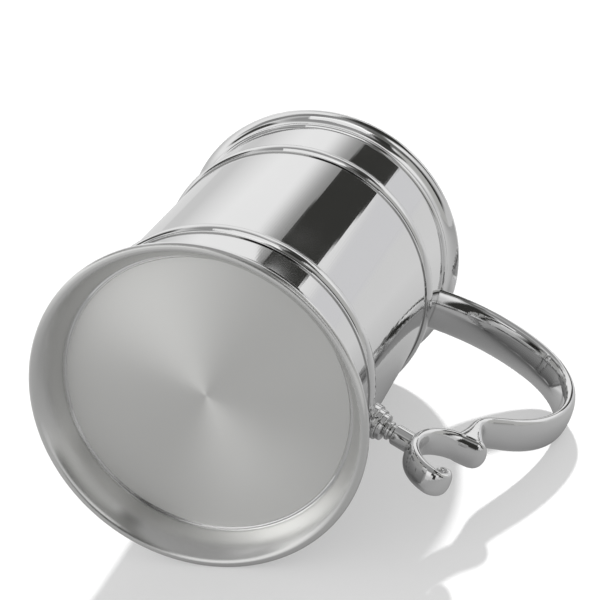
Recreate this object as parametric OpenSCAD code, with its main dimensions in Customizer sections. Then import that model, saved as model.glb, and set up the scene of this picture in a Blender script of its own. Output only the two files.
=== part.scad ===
// Straight-sided tankard in polished pewter: a barrel on a spreading foot, two applied bands,
// a flared rim, and a double-scroll strap handle held low down by a turned strut.
// Millimetres, +Z up. The origin is the centre of the foot's land, and the handle points along +X.

/* [Body] */
// Height from the table to the top of the lip
height = 123; // [105:0.5:145]
// Outside diameter of the barrel
barrel_d = 85.6; // [70:0.2:105]
// Thickness of the barrel wall
wall = 1.8; // [1.2:0.1:3]
// Thickness of the base plate
plate_t = 2; // [1.2:0.1:4]
// Height of the base plate's underside above the table
recess_h = 9.9; // [7:0.1:11]
// Width of the fine turned groove near the base plate's edge
groove_w = 0.5; // [0.3:0.1:1]
// Depth of the groove
groove_depth = 0.3; // [0.1:0.05:0.6]
// Distance from the groove to the edge of the plate that shows
groove_inset = 0.5; // [0.3:0.1:3]

/* [Foot] */
// How far the foot spreads beyond the barrel
foot_spread = 6.2; // [4:0.1:10]
// Height of the foot, up to where its cove meets the barrel
foot_h = 12.4; // [11.4:0.1:18]
// Thickness of the foot's half-round edge
foot_edge_h = 2.2; // [1.4:0.1:3]
// Width of the land that the tankard stands on, edge included
land_w = 2; // [1.6:0.1:3.2]
// Thickness of the foot's top, where it grips the barrel
foot_top_t = 0.6; // [0.3:0.1:1.2]
// Width of the ledge that carries the base plate
ledge_w = 0.6; // [0.4:0.1:1.5]

/* [Bands] */
// Height of the lower band's middle
lower_band_z = 26.6; // [22:0.1:29]
// Distance from the lip's top down to the upper band's middle
upper_band_drop = 29.8; // [24:0.1:40]
// Height of a band's half-round bead
bead_h = 4.8; // [3:0.1:6]
// How far the bead stands out from the barrel
bead_out = 1.3; // [0.8:0.1:2]
// Height of the fillet strip above and below the bead
strip_h = 0.7; // [0.4:0.1:1.2]
// Thickness of the fillet strip
strip_t = 0.4; // [0.2:0.1:0.6]

/* [Rim] */
// Height of the rim above its joint with the barrel
rim_h = 7.5; // [6.5:0.1:11]
// Straight neck of the rim, below the flare
rim_neck = 1.5; // [1.3:0.1:2.5]
// Radius of the rim's outer cove
rim_cove_r = 4.1; // [3.6:0.1:7]
// Radius of the rolled lip
lip_r = 1.4; // [1:0.1:1.8]
// Height of the astragal over the rim joint
astragal_h = 2.4; // [1.6:0.1:2.6]
// How far the astragal stands out from the barrel
astragal_out = 0.7; // [0.4:0.1:1]

/* [Handle grip] */
// Distance from the lip's top down to the start of the grip's top sweep
root_drop = 10.7; // [9:0.1:16]
// How far the grip's blank starts inside the barrel's surface, before it is cut to fit
root_sink = 12; // [10:0.5:16]
// Upward slope of the grip where it starts, in degrees
root_rise = 15; // [8:1:22]
// Radius of the grip's top sweep
top_r = 50; // [40:0.5:60]
// Turn of the top sweep, in degrees
top_turn = 45; // [38:1:50]
// Radius of the outer bow
bow_r = 29; // [25:0.5:33]
// Turn of the outer bow, in degrees
bow_turn = 117; // [108:1:122]
// Length of the lower arm, between the bow and the reverse curve
lower_arm_l = 6.6; // [4:0.1:10]
// Radius of the reverse curve above the knuckle
reverse_r = 7; // [5:0.5:10]
// Turn of the reverse curve, in degrees
reverse_turn = 57; // [50:1:62]
// Length of the knuckle, from the reverse curve down to the scroll
knuckle_l = 8; // [6:0.1:11]
// Width of the grip at its root
root_w = 14.4; // [11:0.1:17]
// Width of the grip at the knuckle
knuckle_w = 9.2; // [8.4:0.1:11]
// Thickness of the grip at its root
root_t = 5; // [4:0.1:6.5]
// Thickness of the grip at the knuckle
knuckle_t = 3.8; // [3.2:0.1:4.6]
// How much thicker the knuckle is at its foot, where it flares onto the scroll
knuckle_flare = 6.2; // [2:0.1:7]
// Length over which the knuckle flares, up from its foot
flare_l = 12.7; // [9:0.1:15]

/* [Handle scroll] */
// Depth to which the knuckle is let into the scroll's top arm
knuckle_housing = 2; // [1.2:0.1:2.2]
// How far the scroll's rounded end stands out beyond the middle of the knuckle
scroll_reach = 6; // [5.2:0.1:8]
// Length over which the scroll's end is rounded
scroll_end_l = 3.4; // [2.4:0.1:4.2]
// Distance from the middle of the knuckle to where the scroll starts to curve
scroll_lead = 1.9; // [0.5:0.1:4]
// Radius of the scroll
scroll_r = 11.7; // [10.4:0.1:14]
// Turn of the scroll, in degrees
scroll_turn = 163; // [152:1:170]
// Radius of the volute at the scroll's tail
volute_r = 3; // [2.7:0.1:3.6]
// Turn of the volute, in degrees
volute_turn = 110; // [80:5:130]
// Radius of the volute's eye
eye_r = 1.7; // [1.5:0.1:2]
// Turn of the volute's eye, in degrees
eye_turn = 160; // [100:5:180]
// Width of the scroll's top arm
scroll_w = 9.2; // [7.6:0.1:10.4]
// Width of the scroll where the volute starts
tail_w = 8.2; // [7:0.1:9.4]
// Width of the scroll at the volute's tip
tip_w = 5.6; // [4:0.1:7]
// Thickness of the scroll
scroll_t = 4; // [3.4:0.1:4.6]
// Thickness of the scroll at the volute's tip
tip_t = 1.8; // [1.4:0.1:2.4]

/* [Strut] */
// Height of the pad's middle above the scroll's centre, which the strut points at
pad_rise = 5.8; // [3:0.1:8]
// Diameter of the pad's flange, on the barrel
pad_d = 10.4; // [9.2:0.1:12]
// Thickness of the flange
flange_t = 1.7; // [1.2:0.1:2.4]
// Diameter of the pad's upper step
step_d = 9.2; // [8:0.1:10]
// Thickness of the whole pad
pad_t = 3.4; // [2.8:0.1:4.5]
// Diameter of the spindle's neck
neck_d = 4.4; // [3.8:0.1:5]
// Diameter of the ring next to the pad
inner_ring_d = 8; // [6:0.1:9]
// Thickness of that ring
inner_ring_t = 1.6; // [1:0.1:2.2]
// Diameter of the ring next to the socket
outer_ring_d = 5.6; // [5:0.1:6.6]
// Thickness of that ring
outer_ring_t = 0.9; // [0.6:0.1:1.4]
// Length of bare neck beside the outer ring, on each side
neck_gap = 1; // [0.6:0.1:1.6]
// Diameter of the tenons at the spindle's ends
tenon_d = 3; // [2.4:0.1:3.4]
// Length of each tenon
tenon_l = 2; // [1.2:0.1:2.4]
// Diameter of the socket
socket_d = 6.2; // [5.4:0.1:7]
// Length of the socket, from its open end to the scroll's back
socket_l = 5.7; // [4.2:0.1:8]
// Chamfer on the socket's open end
socket_chamfer = 0.5; // [0.2:0.1:0.9]
// Depth to which the socket is let into the scroll's back
socket_housing = 0.5; // [0.3:0.1:0.9]

/* [Fit] */
// Clearance round each tenon
fit = 0.05; // [0.02:0.01:0.15]

/* [Hidden] */
$fn = 96;

polished = "#d3d4d4";
satin = "#b4b5b2";

// Body
barrel_r = barrel_d / 2;
bore_r = barrel_r - wall;
floor_z = recess_h + plate_t;
rim_seat_z = height - rim_h;
upper_band_z = height - upper_band_drop;

// Foot: the cove and the inner wall are arcs that stand upright at the foot's top
foot_r = barrel_r + foot_spread;
land_r = foot_r - land_w;
edge_r = foot_edge_h / 2;
foot_top_r = barrel_r + foot_top_t;
ledge_r = barrel_r - ledge_w;
cove_end_r = foot_r - edge_r;
cove_r = upright_arc_radius(cove_end_r - foot_top_r, foot_h - foot_edge_h);
inner_drop = foot_h - recess_h;
inner_x = inner_arc_centre();
inner_r = norm([inner_x - ledge_r, inner_drop]);

// Rim: the roll's centre lies where the inside of the flare runs smoothly into it
rim_cove_z = rim_seat_z + rim_neck;
rim_cove_x = barrel_r + rim_cove_r;
rim_inner_r = rim_cove_r + wall;
lip_z = height - lip_r;
lip_x = rim_cove_x - sqrt(pow(rim_inner_r, 2) - pow(lip_z - rim_cove_z, 2)) + lip_r;

// Strut: places along its axis, from the barrel's surface out to the scroll's centre, which it points at
outer_ring_at = pad_t + inner_ring_t + neck_gap;
socket_at = outer_ring_at + outer_ring_t + neck_gap;
scroll_seat_r = scroll_r + scroll_t / 2 - socket_housing;
strut_l = socket_at + socket_l + scroll_seat_r;
strut_tilt = asin(pad_rise / strut_l);

// Handle: frames [x, z, heading] walk along arcs in the XZ plane. A straight has no turn, and its
// length stands in the place of the radius. The strut holds the scroll and the knuckle at their
// distance from the barrel, and a straight lead joins the grip's sweep to the barrel.
section_sides = 32;
section_power = 2.2;
knuckle_power = 4;
taper_power = 2;
turn_step = 6;
volute_turn_step = 14;
knuckle_rings = 6;
tip_rings = 4;
tip_sweep = 80;
scroll_x = barrel_r + strut_l * cos(strut_tilt);
knuckle_x = scroll_x + scroll_lead;
knuckle_runs = [for (k = [1 : knuckle_rings]) [knuckle_l / knuckle_rings, 0]];
sweep_runs = concat([[top_r, -top_turn], [bow_r, -bow_turn], [lower_arm_l, 0], [reverse_r, reverse_turn]],
                    knuckle_runs);
sweep = run_end([0, 0, root_rise], sweep_runs);
sweep_z = height - root_drop;
knuckle_z = sweep_z + sweep[1];
root_lead = (knuckle_x - sweep[0] - barrel_r + root_sink) / cos(root_rise);
grip_start = [barrel_r - root_sink, sweep_z - root_lead * sin(root_rise), root_rise];
grip_runs = concat([[root_lead, 0]], sweep_runs, [[scroll_t / 2, 0]]);
scroll_z = knuckle_z + knuckle_housing - scroll_t / 2;
scroll_centre_z = scroll_z - scroll_r;
scroll_start = [knuckle_x + scroll_reach - scroll_end_l, scroll_z, 180];
scroll_arm_l = scroll_start[0] - scroll_x;
pad_z = scroll_centre_z + pad_rise;

// Radius of an arc that starts upright and reaches across by dx over a height dz
function upright_arc_radius(dx, dz) = (dx * dx + dz * dz) / (2 * dx);

// X of the centre, at the foot's top, of the arc through the ledge's edge and the land's inner edge
function inner_arc_centre() =
    let (rise = foot_h * foot_h - inner_drop * inner_drop)
    (land_r * land_r - ledge_r * ledge_r + rise) / (2 * (land_r - ledge_r));

// The frame reached from frame f along an arc of radius r that turns by some degrees, left if positive
function arc_step(f, r, turn) =
    turn == 0 ? [f[0] + r * cos(f[2]), f[1] + r * sin(f[2]), f[2]] :
    let (side = sign(turn))
    [f[0] + side * r * (sin(f[2] + turn) - sin(f[2])),
     f[1] - side * r * (cos(f[2] + turn) - cos(f[2])),
     f[2] + turn];

// The last frame of a list of runs
function run_end(start, runs, i = 0) =
    i == len(runs) ? start : run_end(arc_step(start, runs[i][0], runs[i][1]), runs, i + 1);

// Frames along a list of runs, one for each step of turn
function run_frames(start, runs, step, i = 0) =
    i == len(runs) ? [start] :
    let (run = runs[i], count = ceil(abs(run[1]) / step))
    concat([start], [for (k = [1 : 1 : count - 1]) arc_step(start, run[0], run[1] * k / count)],
           run_frames(arc_step(start, run[0], run[1]), runs, step, i + 1));

// Length along the frames up to frame i
function run_length(frames, i) =
    i == 0 ? 0 : run_length(frames, i - 1)
        + norm([frames[i][0] - frames[i - 1][0], frames[i][1] - frames[i - 1][1]]);

function mix(a, b, u) = a + (b - a) * u;

function rounded_power(v, power) = sign(v) * pow(abs(v), 2 / power);

// Points of the strap's cushion-shaped section, of width w and thickness t, in frame f. A power of 2
// would make it an ellipse, and a higher one makes it squarer.
function section_points(f, w, t, power = section_power) =
    [for (k = [0 : section_sides - 1])
        let (a = 360 * k / section_sides,
             out = t / 2 * rounded_power(sin(a), power),
             across = w / 2 * rounded_power(cos(a), power))
        [f[0] - out * sin(f[2]), across, f[1] + out * cos(f[2])]];

// Section k of the rounded tip, of length l, of a strap of size w by t: before frame f if l is negative
function tip_section(f, w, t, l, k) =
    let (a = tip_sweep * k / tip_rings,
         tip = arc_step(f, l * sin(a), 0))
    section_points(tip, w * cos(a), t * cos(a));

// A solid through a list of sections, all with the same number of points
module loft(sections) {
    sides = len(sections[0]);
    last = len(sections) - 1;
    points = [for (section = sections) each section];
    start_cap = [for (k = [0 : sides - 1]) k];
    end_cap = [for (k = [sides - 1 : -1 : 0]) last * sides + k];
    walls = [for (i = [0 : last - 1], k = [0 : sides - 1])
        let (a = i * sides + k, b = i * sides + (k + 1) % sides)
        each [[a, a + sides, b + sides], [a, b + sides, b]]];
    polyhedron(points, concat([start_cap, end_cap], walls));
}

// A band's section: a half-round bead, and a fillet strip where it has one
module bead_section(middle_z, bead, out, strip, strip_thick) {
    bead_r = upright_arc_radius(out, bead / 2);
    intersection() {
        translate([barrel_r + out - bead_r, middle_z]) circle(bead_r);
        translate([barrel_r, middle_z - bead / 2]) square([out, bead]);
    }
    if (strip > 0)
        translate([barrel_r, middle_z - bead / 2 - strip]) square([strip_thick, bead + 2 * strip]);
}

module band_solid(middle_z) {
    rotate_extrude() bead_section(middle_z, bead_h, bead_out, strip_h, strip_t);
}

module astragal_solid() {
    rotate_extrude() bead_section(rim_seat_z, astragal_h, astragal_out, 0, 0);
}

module barrel_core() {
    translate([0, 0, floor_z]) cylinder(h = height - floor_z, r = barrel_r);
}

// A round of the strut, from one place along its axis to another
module strut_turning(from, to, d_from, d_to) {
    translate([barrel_r, 0, pad_z]) rotate([0, 90 + strut_tilt, 0]) translate([0, 0, from])
        cylinder(h = to - from, d1 = d_from, d2 = d_to);
}

module strut_round(from, to, d) {
    strut_turning(from, to, d, d);
}

module barrel() {
    color(polished) difference() {
        translate([0, 0, floor_z]) cylinder(h = rim_seat_z - floor_z, r = barrel_r);
        translate([0, 0, floor_z]) cylinder(h = rim_seat_z - floor_z, r = bore_r);
    }
}

module base_plate() {
    groove_r = ledge_r - groove_inset;
    color(satin) difference() {
        translate([0, 0, recess_h]) cylinder(h = plate_t, r = barrel_r);
        translate([0, 0, recess_h]) difference() {
            cylinder(h = groove_depth, r = groove_r);
            cylinder(h = groove_depth, r = groove_r - groove_w);
        }
    }
}

module foot_section() {
    difference() {
        intersection() {
            translate([inner_x, foot_h]) circle(inner_r);
            square([cove_end_r, foot_h]);
        }
        translate([foot_top_r + cove_r, foot_h]) circle(cove_r);
        translate([0, recess_h]) square([barrel_r, foot_h - recess_h]);
    }
    translate([cove_end_r, edge_r]) circle(edge_r);
}

module foot_ring() {
    color(satin) rotate_extrude() foot_section();
}

module lower_band() {
    color(polished) band_solid(lower_band_z);
}

module upper_band() {
    color(polished) band_solid(upper_band_z);
}

module rim_astragal() {
    color(polished) astragal_solid();
}

module rim_section() {
    translate([bore_r, rim_seat_z]) square([wall, rim_neck]);
    difference() {
        intersection() {
            translate([rim_cove_x, rim_cove_z]) circle(rim_inner_r);
            translate([0, rim_cove_z]) square([lip_x, lip_z - rim_cove_z]);
        }
        translate([rim_cove_x, rim_cove_z]) circle(rim_cove_r);
    }
    translate([lip_x, lip_z]) circle(lip_r);
}

module rim_solid() {
    rotate_extrude() rim_section();
}

module rim_lip() {
    color(polished) rim_solid();
}

// The grip before it is fitted: it starts inside the barrel and ends inside the scroll's top arm
module grip_blank() {
    frames = run_frames(grip_start, grip_runs, turn_step);
    last = len(frames) - 1;
    seat_l = run_length(frames, last - 1);
    loft([for (i = [0 : last])
        let (l = run_length(frames, i),
             u = pow(max(l - root_lead, 0) / (seat_l - root_lead), taper_power),
             flare = pow(max(1 - abs(seat_l - l) / flare_l, 0), taper_power))
        section_points(frames[i], mix(root_w, knuckle_w, u), mix(root_t, knuckle_t, u) + knuckle_flare * flare,
                       mix(section_power, knuckle_power, flare))]);
}

// A block below the seat where the knuckle stands on the scroll
module below_knuckle() {
    translate([barrel_r, -root_w, 0]) cube([knuckle_x + scroll_reach - barrel_r, 2 * root_w, knuckle_z]);
}

module handle_grip() {
    color(polished) difference() {
        grip_blank();
        barrel_core();
        astragal_solid();
        rim_solid();
        below_knuckle();
    }
}

// A drum round the scroll's centre, across its width
module scroll_drum(r) {
    translate([scroll_x, scroll_w, scroll_centre_z]) rotate([90, 0, 0]) cylinder(h = 2 * scroll_w, r = r);
}

module handle_scroll() {
    frames = run_frames(scroll_start, [[scroll_arm_l, 0], [scroll_r, scroll_turn]], turn_step);
    volute = run_frames(frames[len(frames) - 1], [[volute_r, volute_turn], [eye_r, eye_turn]], volute_turn_step);
    last = len(volute) - 1;
    start_tip = [for (k = [tip_rings : -1 : 1])
        tip_section(frames[0], scroll_w, scroll_t, -scroll_end_l, k)];
    turned = len(frames) - 2;
    scroll_sections = [for (i = [0 : turned + 1])
        section_points(frames[i], mix(scroll_w, tail_w, max(i - 1, 0) / turned), scroll_t)];
    volute_sections = [for (i = [1 : last])
        section_points(volute[i], mix(tail_w, tip_w, i / last), mix(scroll_t, tip_t, i / last))];
    end_tip = [for (k = [1 : tip_rings]) tip_section(volute[last], tip_w, tip_t, tip_t / 2, k)];
    color(polished) difference() {
        loft(concat(start_tip, scroll_sections, volute_sections, end_tip));
        difference() {
            grip_blank();
            below_knuckle();
        }
        difference() {
            strut_round(pad_t, strut_l, socket_d);
            scroll_drum(scroll_seat_r);
        }
    }
}

module strut_pad() {
    color(polished) difference() {
        union() {
            strut_round(-pad_d / 2, flange_t, pad_d);
            strut_round(-pad_d / 2, pad_t, step_d);
        }
        barrel_core();
        band_solid(lower_band_z);
        strut_round(pad_t - tenon_l, pad_t, tenon_d + 2 * fit);
    }
}

module strut_spindle() {
    color(polished) union() {
        strut_round(pad_t - tenon_l, socket_at + tenon_l, tenon_d);
        strut_round(pad_t, socket_at, neck_d);
        strut_round(pad_t, pad_t + inner_ring_t, inner_ring_d);
        strut_round(outer_ring_at, outer_ring_at + outer_ring_t, outer_ring_d);
    }
}

module strut_socket() {
    color(polished) difference() {
        union() {
            strut_turning(socket_at, socket_at + socket_chamfer, socket_d - 2 * socket_chamfer, socket_d);
            strut_round(socket_at + socket_chamfer, strut_l, socket_d);
        }
        scroll_drum(scroll_seat_r);
        strut_round(socket_at, socket_at + tenon_l, tenon_d + 2 * fit);
    }
}

barrel();
base_plate();
foot_ring();
lower_band();
upper_band();
rim_astragal();
rim_lip();
handle_grip();
handle_scroll();
strut_pad();
strut_spindle();
strut_socket();
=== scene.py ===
"""Looks of a polished pewter tankard with a broken double-scroll handle, built over its CAD frame."""
import math

import bmesh
import bpy
from bpy.props import FloatProperty, FloatVectorProperty, IntProperty, PointerProperty, StringProperty
from mathutils import Matrix, Vector


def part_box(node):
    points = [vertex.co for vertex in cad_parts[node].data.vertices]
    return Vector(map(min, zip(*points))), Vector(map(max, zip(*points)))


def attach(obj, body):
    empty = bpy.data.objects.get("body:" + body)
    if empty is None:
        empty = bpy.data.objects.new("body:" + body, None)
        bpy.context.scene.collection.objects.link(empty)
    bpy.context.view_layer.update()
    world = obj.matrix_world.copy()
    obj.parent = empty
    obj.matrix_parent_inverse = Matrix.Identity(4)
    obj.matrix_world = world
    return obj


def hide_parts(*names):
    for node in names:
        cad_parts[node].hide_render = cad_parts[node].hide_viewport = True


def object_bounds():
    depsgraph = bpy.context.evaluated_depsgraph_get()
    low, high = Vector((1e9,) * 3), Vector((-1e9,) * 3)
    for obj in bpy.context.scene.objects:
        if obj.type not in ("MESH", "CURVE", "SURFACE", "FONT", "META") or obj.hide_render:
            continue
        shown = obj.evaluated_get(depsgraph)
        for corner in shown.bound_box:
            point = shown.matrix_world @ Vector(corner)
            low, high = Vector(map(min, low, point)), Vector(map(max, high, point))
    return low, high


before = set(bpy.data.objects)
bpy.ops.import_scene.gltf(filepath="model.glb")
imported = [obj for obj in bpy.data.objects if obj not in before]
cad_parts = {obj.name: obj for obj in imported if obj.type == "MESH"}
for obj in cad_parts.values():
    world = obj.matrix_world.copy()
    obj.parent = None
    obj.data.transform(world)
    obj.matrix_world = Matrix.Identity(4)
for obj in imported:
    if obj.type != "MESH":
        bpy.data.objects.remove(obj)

bl_info = {
    "name": "Tankard",
    "version": (1, 0, 0),
    "blender": (4, 5, 0),
    "location": "3D View > Sidebar > Tankard",
    "description": "Builds the looks of a polished pewter tankard over its CAD frame",
    "category": "Object",
}

MM = 0.001
BODY = "root"
SECTION = ("heading", "half_width", "half_thick", "power")
# Most values of a noise texture lie between these
NOISE_RANGE = (0.3, 0.7)
CAD_LOW, CAD_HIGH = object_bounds()
BARREL_LOW, BARREL_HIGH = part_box("barrel")
PLATE_LOW, PLATE_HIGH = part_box("base_plate")
FOOT_LOW, FOOT_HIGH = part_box("foot_ring")
RIM_LOW, RIM_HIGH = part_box("rim_lip")
GRIP_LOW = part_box("handle_grip")[0]
SCROLL_LOW, SCROLL_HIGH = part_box("handle_scroll")


def length(name, description, millimetres):
    """A length property, given in millimetres and kept in metres."""
    return FloatProperty(name=name, description=description, default=millimetres * MM, unit="LENGTH")


def angle(name, description, degrees):
    """An angle property, given in degrees and kept in radians."""
    return FloatProperty(name=name, description=description, default=math.radians(degrees), subtype="ANGLE")


def amount(name, description, value):
    """A plain number property."""
    return FloatProperty(name=name, description=description, default=value)


def count(name, description, value):
    """A whole number property."""
    return IntProperty(name=name, description=description, default=value, min=1)


def tint(name, description, text):
    """A colour property, given as an sRGB hex text."""
    return StringProperty(name=name, description=description, default=text)


class TankardBody(bpy.types.PropertyGroup):
    """Sizes of the turned body that the frame's boxes don't give"""
    segments: count("Segments", "Faces round each turned piece", 400)
    smooth: angle("Smooth", "Edges that bend less than this are shaded smooth", 32.0)
    arc_steps: count("Arc steps", "Steps along each arc of a turned outline", 20)
    edge_break: length("Edge break", "Rounding of the turned edges", 0.12)
    wall: length("Wall", "Thickness of the barrel's wall", 1.8)
    sink: length("Sink", "Depth to which applied rings reach into the barrel's wall", 0.5)
    ledge: length("Ledge", "Width of the ledge that carries the base plate", 0.6)
    groove_inset: length("Groove inset", "Distance from the plate's groove to the ledge", 0.5)
    groove_width: length("Groove width", "Width of the plate's groove", 0.5)
    groove_depth: length("Groove depth", "Depth of the plate's groove", 0.3)
    foot_edge: length("Foot edge", "Thickness of the foot's half-round edge", 2.2)
    foot_top: length("Foot top", "Thickness of the foot's top, where it grips the barrel", 0.6)
    land: length("Land", "Width of the land that the tankard stands on, edge included", 2.0)
    land_ease: length("Land ease", "Reach of the rounding up the foot's inner wall from its land", 1.1)
    land_share: amount("Land share", "Share of that reach that the rounding takes on the land", 0.6)
    strip_height: length("Strip height", "Height of the fillet strips beside a band's bead", 0.7)
    strip_thick: length("Strip thickness", "Thickness of the fillet strips", 0.4)
    rim_neck: length("Rim neck", "Straight neck of the rim below its flare", 1.5)
    rim_cove: length("Rim cove", "Radius of the rim's outer cove", 4.1)
    lip: length("Lip", "Radius of the rolled lip", 1.4)


class TankardHandle(bpy.types.PropertyGroup):
    """Arcs and sections of the two castings that make the handle"""
    pitch: length("Pitch", "Distance between sections along the handle", 0.5)
    sides: count("Sides", "Points round a section", 96)
    smooth: angle("Smooth", "Edges that bend less than this are shaded smooth", 50.0)
    power: amount("Power", "Power of the cushion-shaped section: 2 is an ellipse", 2.3)
    root_power: amount("Root power", "Power of the section at the grip's root, which is more crowned", 1.7)
    knuckle_power: amount("Knuckle power", "Power of the squarer section at the knuckle's foot", 4.0)
    tip_rings: count("Tip rings", "Sections along a rounded tip", 12)
    top_radius: length("Top radius", "Radius of the grip's top sweep", 50.0)
    top_turn: angle("Top turn", "Turn of the top sweep", 45.0)
    bow_radius: length("Bow radius", "Radius of the outer bow", 29.0)
    bow_turn: angle("Bow turn", "Turn of the outer bow", 117.0)
    lower_arm: length("Lower arm", "Straight between the bow and the reverse curve", 6.6)
    reverse_radius: length("Reverse radius", "Radius of the reverse curve above the knuckle", 7.0)
    reverse_turn: angle("Reverse turn", "Turn of the reverse curve", 57.0)
    knuckle: length("Knuckle", "Length of the knuckle above the scroll's middle", 8.0)
    root_width: length("Root width", "Width of the grip at its root", 14.4)
    root_thick: length("Root thickness", "Thickness of the grip at its root", 5.0)
    knuckle_width: length("Knuckle width", "Width of the grip at the knuckle", 9.2)
    knuckle_thick: length("Knuckle thickness", "Thickness of the grip at the knuckle", 3.8)
    flare: length("Flare", "How much thicker the knuckle is at its foot", 6.2)
    flare_length: length("Flare length", "Length over which the knuckle flares, up from its foot", 12.7)
    scroll_lead: length("Scroll lead", "Distance from the knuckle's middle to where the scroll curves", 1.9)
    scroll_end: length("Scroll end", "Length over which the scroll's end is rounded", 3.4)
    scroll_radius: length("Scroll radius", "Radius of the scroll", 11.7)
    scroll_turn: angle("Scroll turn", "Turn of the scroll", 163.0)
    volute_radius: length("Volute radius", "Radius of the volute at the scroll's tail", 3.0)
    volute_turn: angle("Volute turn", "Turn of the volute", 110.0)
    eye_radius: length("Eye radius", "Radius of the volute's eye", 1.7)
    eye_turn: angle("Eye turn", "Turn of the volute's eye", 160.0)
    scroll_width: length("Scroll width", "Width of the scroll's top arm", 9.2)
    tail_width: length("Tail width", "Width of the scroll where the volute starts", 8.2)
    tip_width: length("Tip width", "Width of the volute's tip", 5.6)
    scroll_thick: length("Scroll thickness", "Thickness of the scroll", 4.0)
    tip_thick: length("Tip thickness", "Thickness of the volute's tip", 1.8)


class TankardStrut(bpy.types.PropertyGroup):
    """Diameters and lengths of the turned strut, along its axis from the barrel's surface"""
    segments: count("Segments", "Faces round each turned piece", 96)
    smooth: angle("Smooth", "Edges that bend less than this are shaded smooth", 32.0)
    pad_rise: length("Pad rise", "Height of the pad's middle above the scroll's centre", 5.8)
    flange: length("Flange", "Diameter of the pad's flange", 10.4)
    flange_thick: length("Flange thickness", "Thickness of the flange", 1.7)
    step: length("Step", "Diameter of the pad's upper step", 9.2)
    pad_thick: length("Pad thickness", "Thickness of the whole pad", 3.4)
    neck: length("Neck", "Diameter of the spindle's neck", 4.4)
    inner_ring: length("Inner ring", "Diameter of the ring next to the pad", 8.0)
    inner_ring_thick: length("Inner ring thickness", "Thickness of that ring", 1.6)
    outer_ring: length("Outer ring", "Diameter of the ring next to the socket", 5.6)
    outer_ring_thick: length("Outer ring thickness", "Thickness of that ring", 0.9)
    gap: length("Neck gap", "Bare neck on each side of the outer ring", 1.0)
    socket: length("Socket", "Diameter of the socket", 6.2)
    socket_chamfer: length("Socket chamfer", "Chamfer on the socket's open end", 0.5)
    socket_depth: length("Socket depth", "How far the socket reaches into the scroll's back", 1.0)
    rounding: length("Rounding", "Rounding of the turned edges", 0.3)


class TankardFinish(bpy.types.PropertyGroup):
    """Colours and patterns of the two finishes, and the colour of the table"""
    polished: tint("Polished", "Colour of mirror-polished pewter", "#e2e2e2")
    satin: tint("Satin", "Colour of lathe-turned satin pewter", "#e0e0de")
    # Painted shade: the colour the polished metal darkens to in its corners
    corner_shade: tint("Corner_shade", "Colour of the tarnish in corners", "#585854")
    table: tint("Table", "Colour of the table", "#acacac")
    polished_roughness: amount("Polished roughness", "Roughness of the polished finish", 0.05)
    satin_roughness: amount("Satin roughness", "Roughness of the satin finish", 0.43)
    anisotropy: amount("Anisotropy", "How far the satin finish draws light out across its rings", 0.62)
    foot_satin: amount("Foot satin", "Share of satin finish on the foot's underside", 0.55)
    edge_polish: amount("Edge polish", "Start of polish on the foot's edge: 0 its middle, 1 its rim", 0.92)
    # How far the painted corner shade reaches
    corner_shade_reach: length("Tarnish reach", "How far tarnish spreads from a corner", 1.4)
    haze_size: length("Haze size", "Width of the hazier patches of polish", 25.0)
    wave_size: length("Wave size", "Width of the polished surface's waves", 12.5)
    wave_height: length("Wave height", "Height of those waves before they are weakened", 0.04)
    mark_pitch: length("Mark pitch", "Distance between tool marks, coarser than real ones to show", 0.8)
    mark_depth: length("Mark depth", "Depth of the tool marks before they are weakened", 0.02)
    patch_size: length("Patch size", "Width of the soft patches that handling leaves", 15.4)


class TankardStage(bpy.types.PropertyGroup):
    """Camera, table and studio round the tankard, which lies on its side as in the photo"""
    lens: amount("Lens", "Focal length of the camera, on a 36 mm sensor", 116.38)
    eye: FloatVectorProperty(name="Eye", description="Place of the camera", subtype="TRANSLATION",
                             default=(0.07797, -0.2843, -0.4372))
    eye_forward: FloatVectorProperty(name="Forward", description="Direction the camera looks in",
                                     subtype="DIRECTION", default=(-0.1218, 0.4768, 0.8705))
    eye_right: FloatVectorProperty(name="Right", description="Direction to the camera's right",
                                   subtype="DIRECTION", default=(0.9075, -0.3018, 0.2922))
    table_roll: angle("Table roll", "Turn of the table's upright from -Y, round the barrel", 26.0)
    table_size: length("Table size", "Half the width of the table", 2500.0)
    table_front: length("Table front", "Distance from the tankard's foot to the table's front edge", 130.0)
    table_shade: length("Table shade", "Reach of the tankard's shade on the mirrored table", 150.0)
    table_deep: amount("Table deep", "Share of the light left where that shade is deepest", 0.15)
    table_near: amount("Table near", "Brightness of the table's front as the metal mirrors it", 0.33)
    table_far: amount("Table far", "Brightness of the table's back as the metal mirrors it", 0.76)
    table_fall: length("Table fall", "Distance each way over which that brightness changes", 200.0)
    table_lift: amount("Table lift", "Light that the table adds where the camera sees it", 0.4)
    light_azimuth: angle("Light azimuth", "Back light's direction, right of the camera's heading", 11.0)
    light_elevation: angle("Light elevation", "Height of the back light above the table", 31.0)
    light_spread: angle("Light spread", "Width of the back light, which softens the shadow's edge", 2.6)
    light_strength: amount("Light strength", "Strength of the back light", 6.7)
    left_size: length("Left light size", "Width of the soft light at the left", 1200.0)
    left_strength: amount("Left light strength", "Power of the soft light at the left, in watts", 4.6)
    top_size: length("Top light size", "Width of the soft light overhead", 620.0)
    top_strength: amount("Top light strength", "Power of the soft light overhead, in watts", 0.8)
    card_far: length("Card distance", "Distance from the tankard to the reflected cards", 900.0)


def eased(start, corner, end, steps):
    """Points on a curve that eases a corner, from a start to an end on its two sides."""
    start, corner, end = Vector(start), Vector(corner), Vector(end)
    points = []
    for k in range(steps + 1):
        u = k / steps
        point = start * (1 - u) ** 2 + corner * 2 * u * (1 - u) + end * u ** 2
        points.append((point.x, point.y))
    return points


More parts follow.
